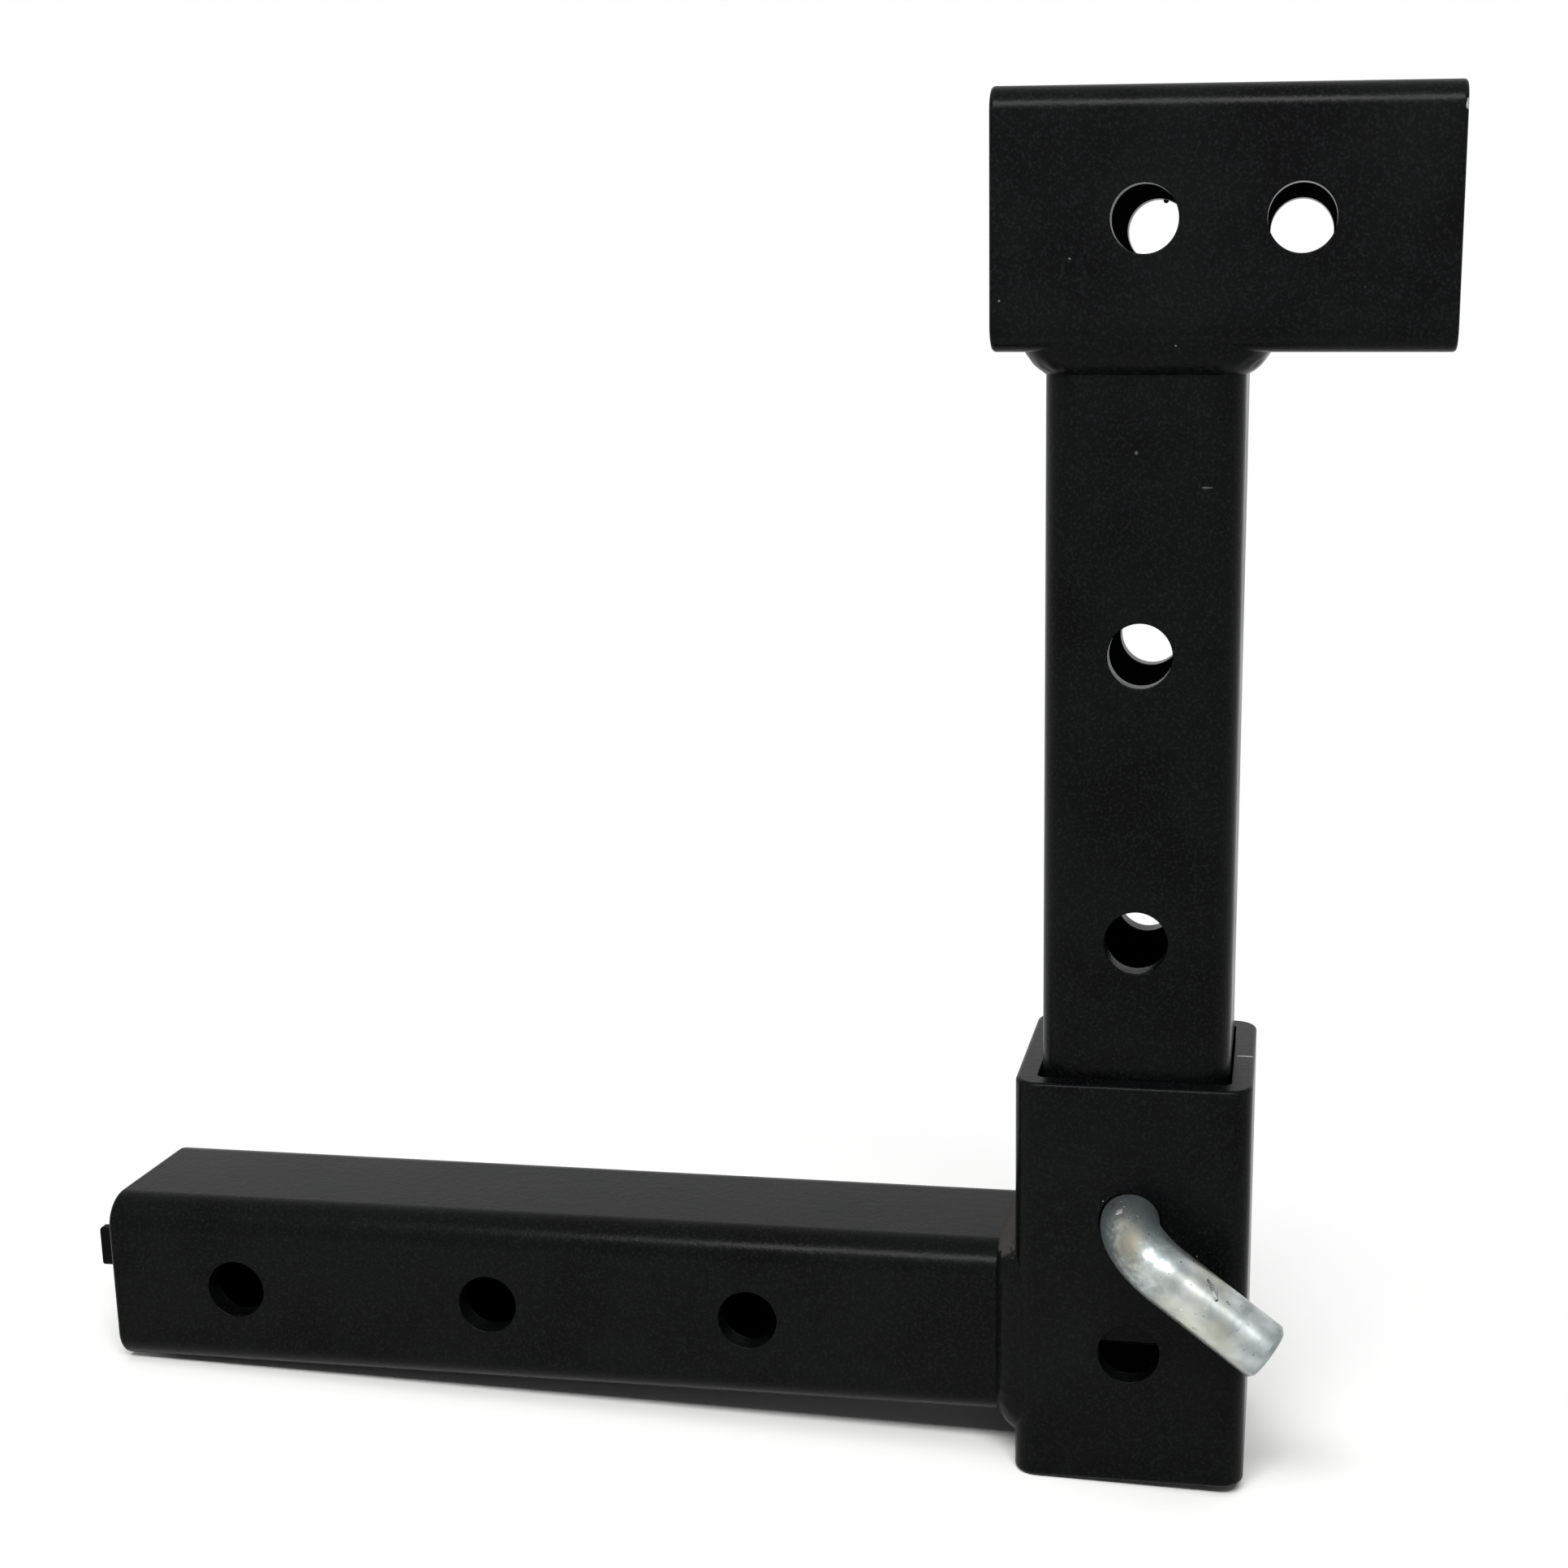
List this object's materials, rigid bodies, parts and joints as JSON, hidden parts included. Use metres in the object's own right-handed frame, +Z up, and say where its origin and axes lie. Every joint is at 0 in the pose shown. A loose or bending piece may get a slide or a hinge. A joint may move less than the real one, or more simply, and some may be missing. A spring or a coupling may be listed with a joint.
{
  "type": "adjustable receiver hitch",
  "caption": "Square-tube hitch shank welded to an upright sleeve, with a pinned sliding post that carries a receiver head at a set height.",
  "frame": {"origin": "on the shank's axis, at the centre of its outermost pin hole", "axes": "+X along the shank towards the sleeve and post, +Y along the pin holes away from the side that the bent pin enters, +Z up along the post"},
  "size_m": [0.3919, 0.1153, 0.3679],
  "materials": {
    "powder_coat": "satin black powder coat on steel tube",
    "zinc_plate": "bright zinc plate, slightly mottled",
    "plug_plastic": "moulded black polyethylene"
  },
  "bodies": {
    "shank_and_sleeve": {"shank_tube": "powder_coat", "receiver_sleeve": "powder_coat", "shank_weld": "powder_coat", "shank_end_plug": "plug_plastic"},
    "post_and_head": {"post_tube": "powder_coat", "head_receiver": "powder_coat", "head_weld": "powder_coat"},
    "pin": {"hitch_pin": "zinc_plate"}
  },
  "joints": [
    {"name": "post_slide", "type": "slide", "parent": "shank_and_sleeve", "child": "post_and_head", "axis": [0, 0, 1], "range_m": [0, 0.0007]},
    {"name": "pin_pull", "type": "slide", "parent": "shank_and_sleeve", "child": "pin", "axis": [0, -1, 0], "range_m": [0, 0.1]}
  ]
}
